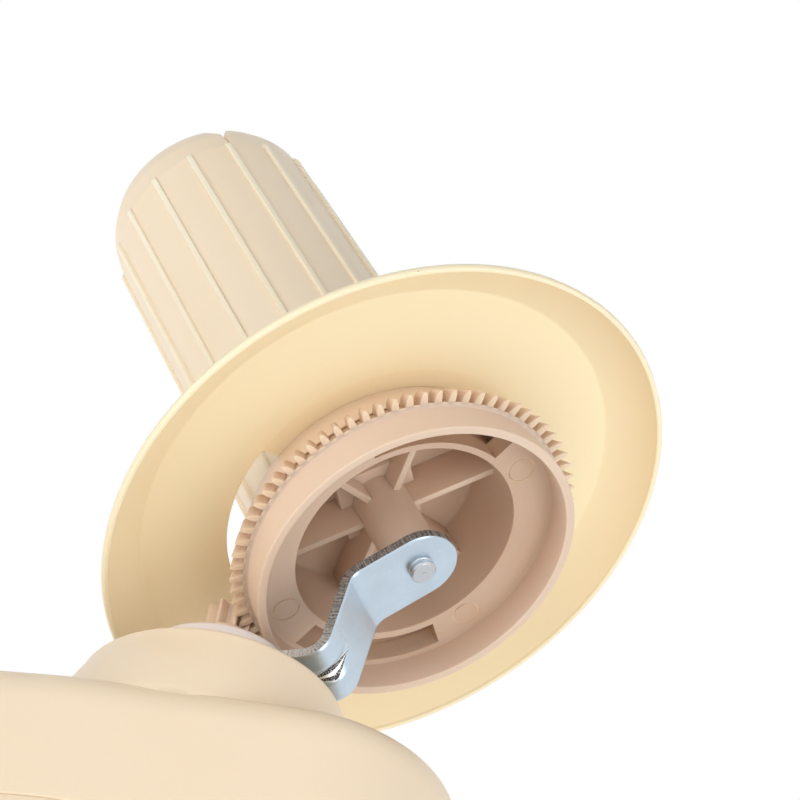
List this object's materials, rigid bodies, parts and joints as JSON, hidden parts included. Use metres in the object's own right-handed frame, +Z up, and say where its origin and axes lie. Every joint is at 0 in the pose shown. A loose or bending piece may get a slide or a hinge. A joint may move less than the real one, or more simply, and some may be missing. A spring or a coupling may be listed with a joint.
{
  "type": "yarn ball winder",
  "caption": "Table-clamped hand winder: a crank under a long body turns a bent steel arm whose tilted, ribbed spool winds yarn into a ball.",
  "frame": {"origin": "middle of the clamp seat, on the table top, at the clamp screw's axis", "axes": "+Z up; +X from the clamp along the body to the rotor"},
  "size_m": [0.2616, 0.133, 0.3366],
  "materials": {
    "shell_cream": "satin moulded plastic",
    "cover_cream": "satin moulded plastic",
    "spool_cream": "satin moulded plastic",
    "core_tan": "satin moulded plastic",
    "hub_white": "smooth moulded plastic",
    "nylon_white": "smooth moulded plastic",
    "zinc_steel": "bright zinc plate over punched strip",
    "turned_steel": "turned and cut faces",
    "bush_bronze": "sintered bronze",
    "rubber_grey": "matt rubber",
    "knob_plastic": "smooth moulded plastic"
  },
  "bodies": {
    "base": {"housing_upper": "shell_cream", "housing_lower": "cover_cream", "housing_screws": "zinc_steel", "seat_pad": "rubber_grey", "clamp_bracket": "zinc_steel", "bracket_screws": "zinc_steel", "clamp_nut": "turned_steel", "crank_bush_lower": "bush_bronze", "crank_bush_upper": "bush_bronze", "rotor_bush_lower": "bush_bronze", "rotor_bush_upper": "bush_bronze", "sun_spindle": "turned_steel", "spindle_nut": "zinc_steel", "sun_pinion": "core_tan", "guide_socket": "cover_cream"},
    "crank": {"crank_shaft": "turned_steel", "drive_gear": "nylon_white", "crank_arm": "zinc_steel", "crank_nut": "zinc_steel", "knob_pin": "turned_steel", "knob_screw": "zinc_steel"},
    "knob": {"crank_knob": "knob_plastic"},
    "rotor": {"rotor_shaft": "nylon_white", "rotor_hub": "hub_white", "hub_cap": "hub_white", "hub_screws": "zinc_steel", "arm_strap": "zinc_steel", "spool_pin": "turned_steel", "spool_washer": "hub_white", "spool_clip": "zinc_steel"},
    "spool": {"spool": "spool_cream", "gear_core": "core_tan"},
    "clamp_slide": {"clamp_foot": "rubber_grey"},
    "clamp_turner": {"clamp_screw": "turned_steel", "clamp_knob": "knob_plastic"},
    "guide": {"guide_arm": "turned_steel", "guide_collar": "turned_steel"}
  },
  "joints": [
    {"name": "crank_turn", "type": "hinge", "parent": "base", "child": "crank", "pos_m": [0.108, 0, 0], "axis": [0, 0, 1], "continuous": true},
    {"name": "knob_turn", "type": "hinge", "parent": "crank", "child": "knob", "pos_m": [0.048, 0, -0.03], "axis": [0, 0, 1], "continuous": true},
    {"name": "rotor_turn", "type": "hinge", "parent": "base", "child": "rotor", "pos_m": [0.1455, 0, 0.06], "axis": [0, 0, 1], "continuous": true},
    {"name": "spool_turn", "type": "hinge", "parent": "rotor", "child": "spool", "pos_m": [0.17724, -0.01206, 0.11334], "axis": [-0.4995, 0.1898, 0.8453], "continuous": true},
    {"name": "clamp_travel", "type": "slide", "parent": "base", "child": "clamp_slide", "axis": [0, 0, 1], "range_m": [-0.014, 0.02]},
    {"name": "clamp_turn", "type": "hinge", "parent": "clamp_slide", "child": "clamp_turner", "pos_m": [0, 0, -0.06], "axis": [0, 0, 1], "continuous": true},
    {"name": "guide_swivel", "type": "hinge", "parent": "base", "child": "guide", "pos_m": [0.032, 0, 0.05], "axis": [0, 0, 1], "range_deg": [-90, 90]}
  ],
  "couplings": [
    {"joint": "rotor_turn", "follows": "crank_turn", "ratio": -3.2857},
    {"joint": "spool_turn", "follows": "crank_turn", "ratio": -0.36508},
    {"joint": "clamp_turn", "follows": "clamp_travel", "rad_per_m": 5026.5}
  ]
}
